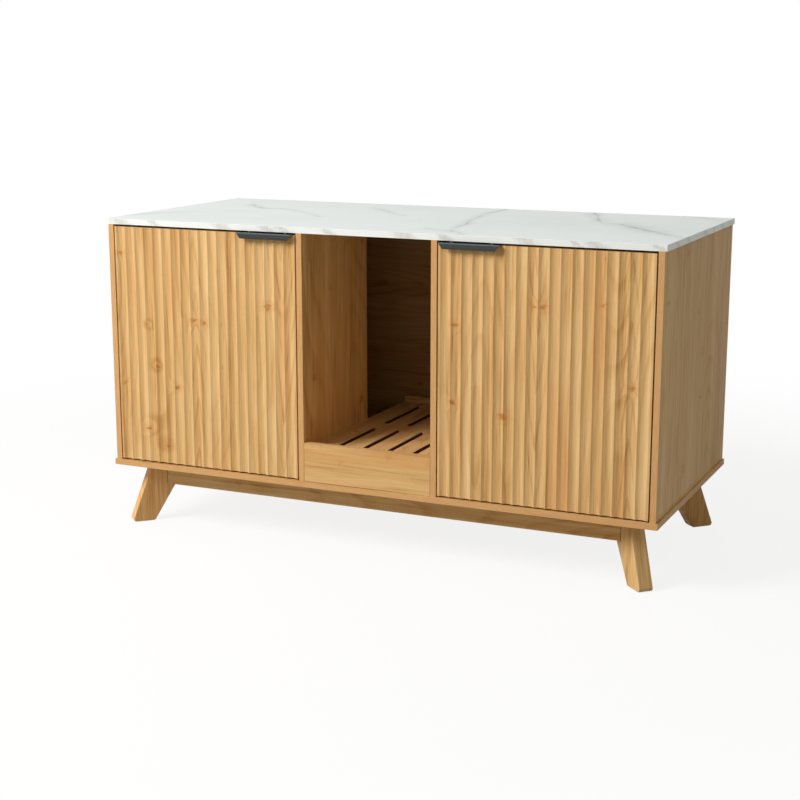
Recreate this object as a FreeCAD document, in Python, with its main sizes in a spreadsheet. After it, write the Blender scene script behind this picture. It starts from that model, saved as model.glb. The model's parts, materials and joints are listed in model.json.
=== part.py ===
import FreeCAD, Part
import os
import Sketcher
from FreeCAD import Placement, Rotation, Vector

# A low cabinet for two litter boxes: a marble-look top on warm oak boards, two fluted doors,
# an open middle bay with a lift-out slatted floor, and four tapered legs set on the diagonals.
# X runs along the width, -Y is the front, Z is up. The origin is on the floor, in the middle.

# The driving dimensions, in millimetres.
SIZES = [
    ("cabinetWidth", 1200),
    ("cabinetDepth", 540),
    ("topThickness", 12),
    ("topEdgeRadius", 1),
    ("topOverhang", 4),
    ("baseThickness", 12),
    ("baseLip", 2.5),
    ("panelHeight", 507),
    ("panelThickness", 12),
    ("bayWidth", 280),
    ("dividerThickness", 12),
    ("dividerDepth", 300),
    ("backThickness", 12),
    ("lowerBackHeight", 70),
    ("lowBoardThickness", 12),
    ("lowBoardHeight", 81),
    ("lowBoardJoint", 0.6),
    ("rearBoardGap", 16),
    ("floorRailThickness", 12),
    ("floorRailHeight", 57),
    ("slattedFloorThickness", 12),
    ("slattedFloorClearance", 0.5),
    ("slotCount", 4),
    ("slotPitch", 55),
    ("slotWidth", 12),
    ("slotFrontMargin", 28.5),
    ("slotRearMargin", 37.5),
    ("slotRowGap", 43),
    ("doorThickness", 18),
    ("doorSideGap", 3),
    ("doorBottomGap", 3.5),
    ("doorTopGap", 4.5),
    ("fluteCount", 19),
    ("fluteDepth", 3),
    ("fluteEdgeLand", 4),
    ("fluteRidgeLand", 0.8),
    ("handleLength", 123),
    ("handleInset", 4),
    ("handleReach", 12),
    ("handleHeight", 12),
    ("handleThickness", 1.5),
    ("handleSeatDepth", 14),
    ("handleReturn", 4),
    ("handleEndSlant", 8.5),
    ("handleBendRadius", 2.2),
    ("handleScrewInset", 20),
    ("handleScrewLength", 20),
    ("hingeInset", 80),
    ("cupDiameter", 35),
    ("cupDepth", 11),
    ("cupWall", 1),
    ("cupWeb", 4),
    ("cupRimWidth", 1.5),
    ("cupFlangeThickness", 1.2),
    ("cupFlangeLength", 56),
    ("cupFlangeWidth", 16),
    ("cupScrewSpacing", 48),
    ("cupScrewOffset", 6),
    ("cupScrewLength", 12),
    ("linkWidth", 12),
    ("linkThickness", 8),
    ("linkInset", 7),
    ("linkRise", 9),
    ("noseGap", 0.6),
    ("noseThickness", 5.9),
    ("noseStart", 21),
    ("noseEnd", 32),
    ("armStart", 38),
    ("armEnd", 86),
    ("armHeight", 11),
    ("armWidth", 15),
    ("plateThickness", 3.5),
    ("plateStart", 40),
    ("plateLength", 44),
    ("plateWidth", 16),
    ("plateWingLength", 16),
    ("plateWingSpan", 48),
    ("plateScrewSpacing", 32),
    ("plateScrewLength", 12),
    ("catchInset", 60),
    ("catchHeight", 46),
    ("catchFlangeThickness", 3),
    ("catchHousingHeight", 26),
    ("catchReach", 15),
    ("catchDepth", 14),
    ("catchGap", 0.4),
    ("catchScrewSpacing", 36),
    ("catchScrewLength", 10),
    ("strikeThickness", 1.5),
    ("strikeWidth", 12),
    ("strikeHeight", 30),
    ("strikeInset", 2),
    ("strikeScrewHeadHeight", 1),
    ("strikeScrewLength", 10),
    ("legHeight", 130.5),
    ("legThickness", 30),
    ("legTopOuter", 78.5),
    ("legTopWidth", 81),
    ("legFootOuter", 30.5),
    ("legFootWidth", 49.5),
    ("legFootRadius", 6),
    ("legEdgeRadius", 1.5),
    ("legBoltInset", 24),
    ("legBoltDiameter", 6),
    ("legBoltLength", 28),
    ("legBoltHeadDiameter", 12),
    ("legBoltHeadHeight", 4),
    ("legBoltSocket", 5),
    ("insertDiameter", 10),
    ("insertLength", 18),
    ("apronThickness", 12),
    ("apronHeight", 50),
    ("apronSetback", 64),
    ("apronScrewPitch", 220),
    ("screwDiameter", 4),
    ("screwLength", 33),
    ("screwHeadDiameter", 8),
    ("screwHeadHeight", 3),
    ("screwSocket", 3),
    ("smallScrewDiameter", 3),
    ("smallScrewHeadDiameter", 6),
    ("smallScrewHeadHeight", 1.2),
    ("smallScrewSocket", 2),
    ("socketDepth", 0.8),
    ("screwInset", 40),
    ("screwReach", 240),
    ("railScrewInset", 150),
    ("railScrewReach", 420),
    ("backScrewReach", 350),
    ("endScrewLow", 25),
    ("endScrewPitch", 30),
    ("railEndScrewLow", 15),
    ("dowelDiameter", 6),
    ("dowelLength", 30),
    ("dowelSeat", 8),
    ("dowelInset", 100),
    ("dowelReach", 200),
    ("backDowelLow", 140),
    ("backDowelHigh", 400),
    ("camDiameter", 12),
    ("camDepth", 9.5),
    ("camDrop", 24),
    ("camBoltDiameter", 5),
    ("camBoltSeat", 8),
    ("camInset", 70),
    ("camReach", 230),
    ("holeClearance", 0.2),
]

doc = FreeCAD.newDocument("LitterBoxCabinet")
sheet = doc.addObject("Spreadsheet::Sheet", "size")
for row, (alias, millimetres) in enumerate(SIZES, start=1):
    sheet.set(f"A{row}", alias)
    sheet.set(f"B{row}", str(millimetres))
    sheet.setAlias(f"B{row}", alias)
doc.recompute()

# Which way each origin plane's sketch faces along its own axis.
FACING = {"XY_Plane": 1, "XZ_Plane": -1, "YZ_Plane": 1}
SIDES = ((-1, "left"), (1, "right"))
nodes = []


def value(expression):
    return float(sheet.evalExpression(expression))


def newBody(label):
    body = doc.addObject("PartDesign::Body", label)
    body.Label = label
    body.AllowCompound = True
    nodes.append(body)
    return body


# A sketch on one of the body's own planes, moved along that plane's axis to a level.
def newSketch(body, role, level):
    sketch = body.newObject("Sketcher::SketchObject", body.Label + "_sketch")
    plane = next(feature for feature in body.Origin.OriginFeatures if feature.Role == role)
    sketch.AttachmentSupport = [(plane, "")]
    sketch.MapMode = "FlatFace"
    sketch.setExpression("AttachmentOffset.Base.z", f"{FACING[role]} * ({level})")
    return sketch


def bindPoint(sketch, geometry, point, across, up):
    for kind, expression in (("DistanceX", across), ("DistanceY", up)):
        constraint = Sketcher.Constraint(kind, -1, 1, geometry, point, value(expression))
        index = sketch.addConstraint(constraint)
        sketch.setExpression(f"Constraints[{index}]", expression)


# A closed outline through corners given as pairs of expressions.
def outline(sketch, corners):
    points = [Vector(value(across), value(up), 0) for across, up in corners]
    first = sketch.GeometryCount
    for here, there in zip(points, points[1:] + points[:1]):
        sketch.addGeometry(Part.LineSegment(here, there))
    for number, (across, up) in enumerate(corners):
        line = first + number
        following = first + (number + 1) % len(corners)
        sketch.addConstraint(Sketcher.Constraint("Coincident", line, 2, following, 1))
        bindPoint(sketch, line, 1, across, up)


def rectangle(sketch, across0, across1, up0, up1):
    outline(sketch, [(across0, up0), (across1, up0), (across1, up1), (across0, up1)])


def circles(sketch, places, diameter):
    for across, up in places:
        centre = Vector(value(across), value(up), 0)
        circle = sketch.addGeometry(Part.Circle(centre, Vector(0, 0, 1), value(diameter) / 2))
        bindPoint(sketch, circle, 3, across, up)
        index = sketch.addConstraint(Sketcher.Constraint("Diameter", circle, value(diameter)))
        sketch.setExpression(f"Constraints[{index}]", diameter)


# A slot with round ends, lying along the sketch's upward direction.
def roundedSlot(sketch, across, up0, up1, width):
    middle, low, high = value(across), value(up0), value(up1)
    radius = value(width) / 2
    axis = Vector(0, 0, 1)
    lowEnd = Part.ArcOfCircle(Part.Circle(Vector(middle, low, 0), axis, radius),
                              FreeCAD.Units.Quantity("180 deg").getValueAs("rad").Value,
                              FreeCAD.Units.Quantity("360 deg").getValueAs("rad").Value)
    highEnd = Part.ArcOfCircle(Part.Circle(Vector(middle, high, 0), axis, radius),
                               0, FreeCAD.Units.Quantity("180 deg").getValueAs("rad").Value)
    rightSide = Part.LineSegment(Vector(middle + radius, low, 0), Vector(middle + radius, high, 0))
    leftSide = Part.LineSegment(Vector(middle - radius, high, 0), Vector(middle - radius, low, 0))
    lowArc = sketch.addGeometry(lowEnd)
    right = sketch.addGeometry(rightSide)
    highArc = sketch.addGeometry(highEnd)
    left = sketch.addGeometry(leftSide)
    for one, two in ((lowArc, right), (right, highArc), (highArc, left), (left, lowArc)):
        sketch.addConstraint(Sketcher.Constraint("Tangent", one, 2, two, 1))
    sketch.addConstraint(Sketcher.Constraint("Equal", lowArc, highArc))
    bindPoint(sketch, lowArc, 3, across, up0)
    bindPoint(sketch, highArc, 3, across, up1)
    index = sketch.addConstraint(Sketcher.Constraint("Radius", lowArc, radius))
    sketch.setExpression(f"Constraints[{index}]", f"{width} / 2")


def planeOf(sketch):
    return sketch.AttachmentSupport[0][0].Role


# Pads and pockets go toward +1 or -1 along the axis square to their sketch.
def pad(body, sketch, length, toward):
    feature = body.newObject("PartDesign::Pad", body.Label + "_pad")
    feature.Profile = sketch
    feature.setExpression("Length", length)
    feature.Reversed = FACING[planeOf(sketch)] != toward
    return feature


def pocket(body, sketch, depth, toward):
    feature = body.newObject("PartDesign::Pocket", body.Label + "_pocket")
    feature.Profile = sketch
    feature.setExpression("Length", depth)
    feature.Reversed = FACING[planeOf(sketch)] == toward
    return feature


def drill(body, role, level, places, diameter, depth, toward):
    sketch = newSketch(body, role, level)
    circles(sketch, places, diameter)
    return pocket(body, sketch, depth, toward)


def post(body, role, level, places, diameter, length, toward):
    sketch = newSketch(body, role, level)
    circles(sketch, places, diameter)
    return pad(body, sketch, length, toward)


def fillet(body, base, edges, radius):
    doc.recompute()
    feature = body.newObject("PartDesign::Fillet", body.Label + "_fillet")
    names = [f"Edge{number}" for number, edge in enumerate(base.Shape.Edges, start=1) if edges(edge)]
    feature.Base = (base, names)
    feature.setExpression("Radius", radius)
    return feature


# A board square to the axes, drawn in plan and raised from z0 to z1.
def board(label, x0, x1, y0, y1, z0, z1):
    body = newBody(label)
    sketch = newSketch(body, "XY_Plane", z0)
    rectangle(sketch, x0, x1, y0, y1)
    pad(body, sketch, f"{z1} - ({z0})", 1)
    return body


# Screws with flat round heads. The head stands on the level and the shank goes the way it is
# driven; holes() cuts what they pass through from the same places.
def screws(label, role, level, places, driven, diameter, length, headDiameter, headHeight, socket):
    body = newBody(label)
    post(body, role, level, places, headDiameter, headHeight, -driven)
    post(body, role, level, places, diameter, length, driven)
    head = f"{level} - ({driven}) * {headHeight}"
    drill(body, role, head, places, socket, "size.socketDepth", driven)
    return body


def woodScrews(label, role, level, places, driven):
    return screws(label, role, level, places, driven, "size.screwDiameter", "size.screwLength",
                  "size.screwHeadDiameter", "size.screwHeadHeight", "size.screwSocket")


def smallScrews(label, role, level, places, driven, length):
    return screws(label, role, level, places, driven, "size.smallScrewDiameter", length,
                  "size.smallScrewHeadDiameter", "size.smallScrewHeadHeight",
                  "size.smallScrewSocket")


# Planes that the pieces share.
half = "(size.cabinetWidth / 2)"
frontY = "((size.handleReach - size.cabinetDepth) / 2)"
rearY = "((size.handleReach + size.cabinetDepth) / 2)"
baseFrontY = f"({frontY} - size.baseLip)"
floorZ = "(size.legHeight + size.baseThickness)"
ceilingZ = f"({floorZ} + size.panelHeight)"
sideOuter = f"({half} - size.topOverhang)"
sideInner = f"({sideOuter} - size.panelThickness)"
sideMiddle = f"({sideOuter} - size.panelThickness / 2)"
dividerInner = "(size.bayWidth / 2)"
dividerOuter = f"({dividerInner} + size.dividerThickness)"
dividerMiddle = f"({dividerInner} + size.dividerThickness / 2)"
backFrontY = f"({rearY} - size.backThickness)"
backMiddleY = f"({rearY} - size.backThickness / 2)"
backSplitZ = f"({floorZ} + size.lowerBackHeight)"
lowFrontRearY = f"({frontY} + size.lowBoardThickness)"
lowRearRearY = f"({backFrontY} - size.rearBoardGap)"
lowRearFrontY = f"({lowRearRearY} - size.lowBoardThickness)"
lowTopZ = f"({floorZ} + size.lowBoardHeight)"
railInner = f"({dividerInner} - size.floorRailThickness)"
railMiddle = f"({dividerInner} - size.floorRailThickness / 2)"
railTopZ = f"({floorZ} + size.floorRailHeight)"
doorOuter = f"({sideInner} - size.doorSideGap)"
doorFree = f"({dividerOuter} + size.doorSideGap)"
doorWidth = f"({doorOuter} - {doorFree})"
doorBottomZ = f"({floorZ} + size.doorBottomGap)"
doorTopZ = f"({ceilingZ} - size.doorTopGap)"
doorBackY = f"({frontY} + size.doorThickness)"
hingeHeights = [("lower", f"({doorBottomZ} + size.hingeInset)"),
                ("upper", f"({doorTopZ} - size.hingeInset)")]

# Where the fasteners stand, as pairs of plan coordinates.
sideScrewYs = [f"{frontY} + size.screwInset", f"({frontY} + {rearY}) / 2",
               f"{rearY} - size.screwInset"]
dividerScrewYs = [f"{frontY} + size.screwInset", f"{frontY} + size.screwReach"]
railScrewYs = [f"{frontY} + size.railScrewInset", f"{frontY} + size.railScrewReach"]
sideDowelYs = [f"{frontY} + size.dowelInset", f"{rearY} - size.dowelInset"]
dividerDowelYs = [f"{frontY} + size.dowelInset", f"{frontY} + size.dowelReach"]
sideCamYs = [f"{frontY} + size.camInset", f"{rearY} - size.camInset"]
dividerCamYs = [f"{frontY} + size.camInset", f"{frontY} + size.camReach"]


def row(side, across, depths):
    return [(f"{side} * {across}", depth) for depth in depths]


sideScrewPlaces = {side: row(side, sideMiddle, sideScrewYs) for side, name in SIDES}
dividerScrewPlaces = {side: row(side, dividerMiddle, dividerScrewYs) for side, name in SIDES}
railScrewPlaces = {side: row(side, railMiddle, railScrewYs) for side, name in SIDES}
backScrewPlaces = [("-size.backScrewReach", backMiddleY), ("0", backMiddleY),
                   ("size.backScrewReach", backMiddleY)]
lowFrontScrewPlaces = [("0", f"({frontY} + {lowFrontRearY}) / 2")]
lowRearScrewPlaces = [("0", f"({lowRearFrontY} + {lowRearRearY}) / 2")]
sideDowelPlaces = {side: row(side, sideMiddle, sideDowelYs) for side, name in SIDES}
dividerDowelPlaces = {side: row(side, dividerMiddle, dividerDowelYs) for side, name in SIDES}
sideCamPlaces = {side: row(side, sideMiddle, sideCamYs) for side, name in SIDES}
dividerCamPlaces = {side: row(side, dividerMiddle, dividerCamYs) for side, name in SIDES}


def bothSides(places):
    return places[-1] + places[1]


baseScrewPlaces = (bothSides(sideScrewPlaces) + bothSides(dividerScrewPlaces)
                   + bothSides(railScrewPlaces) + backScrewPlaces + lowFrontScrewPlaces
                   + lowRearScrewPlaces)
dowelPlaces = bothSides(sideDowelPlaces) + bothSides(dividerDowelPlaces)
camPlaces = bothSides(sideCamPlaces) + bothSides(dividerCamPlaces)
apronFrontY = f"({frontY} + size.apronSetback)"
apronRearY = f"({rearY} - size.apronSetback)"
apronScrewXs = [f"{step} * size.apronScrewPitch" for step in (-2, -1, 0, 1, 2)]
frontApronPlaces = [(across, f"{apronFrontY} + size.apronThickness / 2") for across in apronScrewXs]
rearApronPlaces = [(across, f"{apronRearY} - size.apronThickness / 2") for across in apronScrewXs]

# Each leg stands on the diagonal of its own corner of the base board, and reaches inward.
LEGS = [("leg_front_left", -1, -1, 45), ("leg_front_right", 1, -1, 135),
        ("leg_rear_right", 1, 1, 225), ("leg_rear_left", -1, 1, 315)]
legBoltReaches = ["(size.legTopOuter + size.legBoltInset)",
                  "(size.legTopOuter + size.legTopWidth - size.legBoltInset)"]


def cornerY(endways):
    return baseFrontY if endways < 0 else rearY


def legBoltPlaces(sideways, endways):
    return [(f"{sideways} * ({half} - {reach} / sqrt(2))",
             f"{cornerY(endways)} - ({endways}) * {reach} / sqrt(2)") for reach in legBoltReaches]


allLegBoltPlaces = []
for label, sideways, endways, turn in LEGS:
    allLegBoltPlaces += legBoltPlaces(sideways, endways)

screwHole = "size.screwDiameter + size.holeClearance"
screwHeadHole = "size.screwHeadDiameter + size.holeClearance"
smallScrewHole = "size.smallScrewDiameter + size.holeClearance"
dowelHole = "size.dowelDiameter + size.holeClearance"
camHole = "size.camDiameter + size.holeClearance"
camBoltHole = "size.camBoltDiameter + size.holeClearance"

# Top and base boards.
topSlab = newBody("top_slab")
slabSketch = newSketch(topSlab, "XY_Plane", ceilingZ)
rectangle(slabSketch, f"-{half}", half, frontY, rearY)
slabPad = pad(topSlab, slabSketch, "size.topThickness", 1)
fillet(topSlab, slabPad, lambda edge: edge.Vertexes[0].Z > value(ceilingZ) or
       edge.Vertexes[1].Z > value(ceilingZ), "size.topEdgeRadius")
drill(topSlab, "XY_Plane", ceilingZ, camPlaces, camBoltHole,
      "size.camBoltSeat + size.holeClearance", 1)

baseBoard = board("base_board", f"-{half}", half, baseFrontY, rearY, "size.legHeight", floorZ)
drill(baseBoard, "XY_Plane", "size.legHeight", baseScrewPlaces, screwHole,
      "size.baseThickness", 1)
drill(baseBoard, "XY_Plane", "size.legHeight", baseScrewPlaces, screwHeadHole,
      "size.screwHeadHeight", 1)
drill(baseBoard, "XY_Plane", floorZ, dowelPlaces, dowelHole,
      "size.dowelSeat + size.holeClearance", -1)
drill(baseBoard, "XY_Plane", floorZ, frontApronPlaces + rearApronPlaces, screwHole,
      "size.baseThickness", -1)
drill(baseBoard, "XY_Plane", floorZ, frontApronPlaces + rearApronPlaces, screwHeadHole,
      "size.screwHeadHeight", -1)
drill(baseBoard, "XY_Plane", floorZ, allLegBoltPlaces,
      "size.legBoltDiameter + size.holeClearance", "size.baseThickness", -1)
drill(baseBoard, "XY_Plane", floorZ, allLegBoltPlaces,
      "size.legBoltHeadDiameter + size.holeClearance", "size.legBoltHeadHeight", -1)

# Screws in the board edges reach this far past the base board.
edgeScrewDepth = ("size.screwHeadHeight + size.screwLength - size.baseThickness"
                  " + size.holeClearance")
edgeDowelDepth = "size.dowelLength - size.dowelSeat + size.holeClearance"
camZ = f"({ceilingZ} - size.camDrop)"


# A panel that stands on the base board and hangs from the top by its cams.
def standingPanel(label, x0, x1, y1, screwPlaces, dowels, cams, camFace, camSide):
    panel = board(label, x0, x1, frontY, y1, floorZ, ceilingZ)
    drill(panel, "XY_Plane", floorZ, screwPlaces, screwHole, edgeScrewDepth, 1)
    drill(panel, "XY_Plane", floorZ, dowels, dowelHole, edgeDowelDepth, 1)
    drill(panel, "XY_Plane", ceilingZ, cams, camBoltHole, "size.camDrop", -1)
    drill(panel, "YZ_Plane", camFace, [(depth, camZ) for across, depth in cams], camHole,
          "size.camDepth", camSide)
    return panel


platePivotY = f"({frontY} + size.plateStart + size.plateLength / 2)"
plateScrewPlaces = []
for level, hingeZ in hingeHeights:
    plateScrewPlaces += [(platePivotY, f"{hingeZ} - size.plateScrewSpacing / 2"),
                         (platePivotY, f"{hingeZ} + size.plateScrewSpacing / 2")]
backDowelPlaces = [(backMiddleY, f"{floorZ} + size.lowerBackHeight / 2"),
                   (backMiddleY, f"{floorZ} + size.backDowelLow"),
                   (backMiddleY, f"{floorZ} + size.backDowelHigh")]
endScrewPlaces = [(f"({frontY} + {lowFrontRearY}) / 2", f"{floorZ} + size.endScrewLow"),
                  (f"({frontY} + {lowFrontRearY}) / 2",
                   f"{floorZ} + size.endScrewLow + size.endScrewPitch")]
catchZ = f"({doorTopZ} - size.catchInset)"
catchFrontY = f"({doorBackY} + size.strikeThickness + size.catchGap)"
catchMiddleY = f"({catchFrontY} + size.catchDepth / 2)"
catchScrewPlaces = [(catchMiddleY, f"{catchZ} - size.catchScrewSpacing / 2"),
                    (catchMiddleY, f"{catchZ} + size.catchScrewSpacing / 2")]

for side, name in SIDES:
    inward = -side
    panel = standingPanel(f"{name}_side_panel", f"{side} * {sideInner}", f"{side} * {sideOuter}",
                          rearY, sideScrewPlaces[side], sideDowelPlaces[side],
                          sideCamPlaces[side], f"{side} * {sideInner}", side)
    drill(panel, "YZ_Plane", f"{side} * {sideInner}", plateScrewPlaces, smallScrewHole,
          "size.plateScrewLength - size.plateThickness + size.holeClearance", side)
    drill(panel, "YZ_Plane", f"{side} * {sideInner}", backDowelPlaces, dowelHole,
          "size.dowelSeat + size.holeClearance", side)

    divider = standingPanel(f"{name}_divider", f"{side} * {dividerInner}",
                            f"{side} * {dividerOuter}", f"{frontY} + size.dividerDepth",
                            dividerScrewPlaces[side], dividerDowelPlaces[side],
                            dividerCamPlaces[side], f"{side} * {dividerOuter}", inward)
    drill(divider, "YZ_Plane", f"{side} * {dividerOuter}", endScrewPlaces, screwHole,
          "size.dividerThickness", inward)
    drill(divider, "YZ_Plane", f"{side} * {dividerOuter}", endScrewPlaces, screwHeadHole,
          "size.screwHeadHeight", inward)
    drill(divider, "YZ_Plane", f"{side} * {dividerOuter}", catchScrewPlaces, smallScrewHole,
          "size.catchScrewLength - size.catchFlangeThickness + size.holeClearance", inward)

# Back boards, one above the other, between the side panels.
backLower = board("back_lower_board", f"-{sideInner}", sideInner, backFrontY, rearY, floorZ,
                  backSplitZ)
drill(backLower, "XY_Plane", floorZ, backScrewPlaces, screwHole, edgeScrewDepth, 1)
backUpper = board("back_upper_board", f"-{sideInner}", sideInner, backFrontY, rearY, backSplitZ,
                  ceilingZ)
for side, name in SIDES:
    drill(backLower, "YZ_Plane", f"{side} * {sideInner}", backDowelPlaces[:1], dowelHole,
          edgeDowelDepth, -side)
    drill(backUpper, "YZ_Plane", f"{side} * {sideInner}", backDowelPlaces[1:], dowelHole,
          edgeDowelDepth, -side)

# Low boards at the front and the rear of the middle bay, and the rails between them. The front
# one shows a hairline joint at its ends and its foot, and its screws hold it there.
frontBoardHalf = f"({dividerInner} - size.lowBoardJoint)"
frontBoardZ = f"({floorZ} + size.lowBoardJoint)"
frontBoard = board("center_front_board", f"-{frontBoardHalf}", frontBoardHalf, frontY,
                   lowFrontRearY, frontBoardZ, lowTopZ)
drill(frontBoard, "XY_Plane", frontBoardZ, lowFrontScrewPlaces, screwHole, edgeScrewDepth, 1)
endScrewDepth = ("size.screwHeadHeight + size.screwLength - size.dividerThickness"
                 " + size.holeClearance")
rearBoard = board("center_rear_board", f"-{dividerInner}", dividerInner, lowRearFrontY,
                  lowRearRearY, floorZ, lowTopZ)
drill(rearBoard, "XY_Plane", floorZ, lowRearScrewPlaces, screwHole, edgeScrewDepth, 1)
railEndPlaces = {}
for side, name in SIDES:
    drill(frontBoard, "YZ_Plane", f"{side} * {frontBoardHalf}", endScrewPlaces, screwHole,
          endScrewDepth, -side)
    railEndPlaces[side] = [(f"{side} * {railMiddle}", f"{floorZ} + size.railEndScrewLow"),
                           (f"{side} * {railMiddle}",
                            f"{floorZ} + size.railEndScrewLow + size.endScrewPitch")]
    rail = board(f"{name}_floor_rail", f"{side} * {railInner}", f"{side} * {dividerInner}",
                 lowFrontRearY, lowRearFrontY, floorZ, railTopZ)
    drill(rail, "XY_Plane", floorZ, railScrewPlaces[side], screwHole, edgeScrewDepth, 1)
    drill(rail, "XZ_Plane", lowRearFrontY, railEndPlaces[side], screwHole,
          "size.screwHeadHeight + size.screwLength - size.lowBoardThickness"
          " + size.holeClearance", -1)
drill(rearBoard, "XZ_Plane", lowRearRearY, bothSides(railEndPlaces), screwHole,
      "size.lowBoardThickness", -1)
drill(rearBoard, "XZ_Plane", lowRearRearY, bothSides(railEndPlaces), screwHeadHole,
      "size.screwHeadHeight", -1)

# The slatted floor lies loose on the rails, with two rows of slots.
floorHalf = f"({dividerInner} - size.slattedFloorClearance)"
floorFrontY = f"({lowFrontRearY} + size.slattedFloorClearance)"
floorRearY = f"({lowRearFrontY} - size.slattedFloorClearance)"
slattedFloor = board("slatted_floor", f"-{floorHalf}", floorHalf, floorFrontY, floorRearY,
                     railTopZ, f"({railTopZ} + size.slattedFloorThickness)")
slotSketch = newSketch(slattedFloor, "XY_Plane", railTopZ)
firstSlotX = "(-(size.slotCount - 1) * size.slotPitch / 2)"
slotLength = (f"(({floorRearY} - {floorFrontY} - size.slotFrontMargin - size.slotRearMargin"
              " - size.slotRowGap) / 2)")
slotStartY = f"({floorFrontY} + size.slotFrontMargin + size.slotWidth / 2)"
for slotRow in (0, 1):
    nearEnd = f"({slotStartY} + {slotRow} * ({slotLength} + size.slotRowGap))"
    roundedSlot(slotSketch, firstSlotX, nearEnd, f"{nearEnd} + {slotLength} - size.slotWidth",
                "size.slotWidth")
slotPocket = pocket(slattedFloor, slotSketch, "size.slattedFloorThickness", 1)


# Repeats a feature along the body's X axis.
def repeatAlongX(body, feature, pitch, count):
    doc.recompute()
    pattern = body.newObject("PartDesign::LinearPattern", body.Label + "_pattern")
    pattern.Originals = [feature]
    axis = next(entry for entry in body.Origin.OriginFeatures if entry.Role == "X_Axis")
    pattern.Direction = (axis, [""])
    pattern.Mode = "Spacing"
    pattern.setExpression("Offset", pitch)
    pattern.setExpression("Occurrences", count)
    body.Tip = pattern
    return pattern


repeatAlongX(slattedFloor, slotPocket, "size.slotPitch", "size.slotCount")

# Doors. Each turns on a vertical line in the gap beside its outer edge, in the front plane, and
# "in from the pivot" is measured from that line toward the middle of the cabinet.
flutePitch = f"(({doorWidth} - 2 * size.fluteEdgeLand) / size.fluteCount)"
fluteChord = f"({flutePitch} - size.fluteRidgeLand)"
fluteRadius = f"(({fluteChord} * {fluteChord} / 4 + size.fluteDepth * size.fluteDepth)"\
              " / (2 * size.fluteDepth))"
pivotX = f"({sideInner} - size.doorSideGap / 2)"
cupX = f"({doorOuter} - size.cupWeb - size.cupDiameter / 2)"
cupScrewX = f"({cupX} - size.cupScrewOffset)"
linkX = f"({pivotX} - size.linkInset)"
cupFlangeRearY = f"({doorBackY} + size.cupFlangeThickness)"
cupFloorY = f"({doorBackY} - size.cupDepth + size.cupWall)"
plateTopX = f"({sideInner} - size.plateThickness)"
strikeEdge = f"({doorFree} + size.strikeInset)"
strikeFar = f"({strikeEdge} + size.strikeWidth)"
strikeMiddle = f"({strikeEdge} + size.strikeWidth / 2)"
handleNear = f"({doorFree} + size.handleInset)"
handleFar = f"({handleNear} + size.handleLength)"
handleTopZ = f"({doorTopZ} + size.handleThickness)"
handleLowZ = f"({handleTopZ} - size.handleHeight)"
handleFaceY = f"({frontY} - size.handleReach)"
handleScrewY = f"({frontY} + size.handleSeatDepth / 2)"


def cupScrewPlaces(side, hingeZ):
    return [(f"{side} * {cupScrewX}", f"{hingeZ} - size.cupScrewSpacing / 2"),
            (f"{side} * {cupScrewX}", f"{hingeZ} + size.cupScrewSpacing / 2")]


def handleScrewPlaces(side):
    return [(f"{side} * ({handleNear} + size.handleScrewInset)", handleScrewY),
            (f"{side} * ({handleFar} - size.handleScrewInset)", handleScrewY)]


def makeDoor(side, name):
    door = board(f"{name}_door", f"{side} * {doorFree}", f"{side} * {doorOuter}", frontY,
                 doorBackY, doorBottomZ, doorTopZ)
    lowEdge = f"-{doorOuter}" if side < 0 else doorFree
    fluteSketch = newSketch(door, "XY_Plane", doorBottomZ)
    circles(fluteSketch, [(f"{lowEdge} + size.fluteEdgeLand + {flutePitch} / 2",
                           f"{frontY} + size.fluteDepth - {fluteRadius}")],
            f"2 * {fluteRadius}")
    flute = pocket(door, fluteSketch, f"{doorTopZ} - {doorBottomZ}", 1)
    repeatAlongX(door, flute, flutePitch, "size.fluteCount")
    cups = [(f"{side} * {cupX}", hingeZ) for level, hingeZ in hingeHeights]
    drill(door, "XZ_Plane", doorBackY, cups, "size.cupDiameter + size.holeClearance",
          "size.cupDepth + size.holeClearance", -1)
    pilots = cupScrewPlaces(side, hingeHeights[0][1]) + cupScrewPlaces(side, hingeHeights[1][1])
    drill(door, "XZ_Plane", doorBackY, pilots, smallScrewHole,
          "size.cupScrewLength - size.cupFlangeThickness + size.holeClearance", -1)
    drill(door, "XZ_Plane", doorBackY, [(f"{side} * {strikeMiddle}", catchZ)], smallScrewHole,
          "size.strikeScrewLength", -1)
    drill(door, "XY_Plane", doorTopZ, handleScrewPlaces(side), smallScrewHole,
          "size.handleScrewLength", -1)


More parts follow.
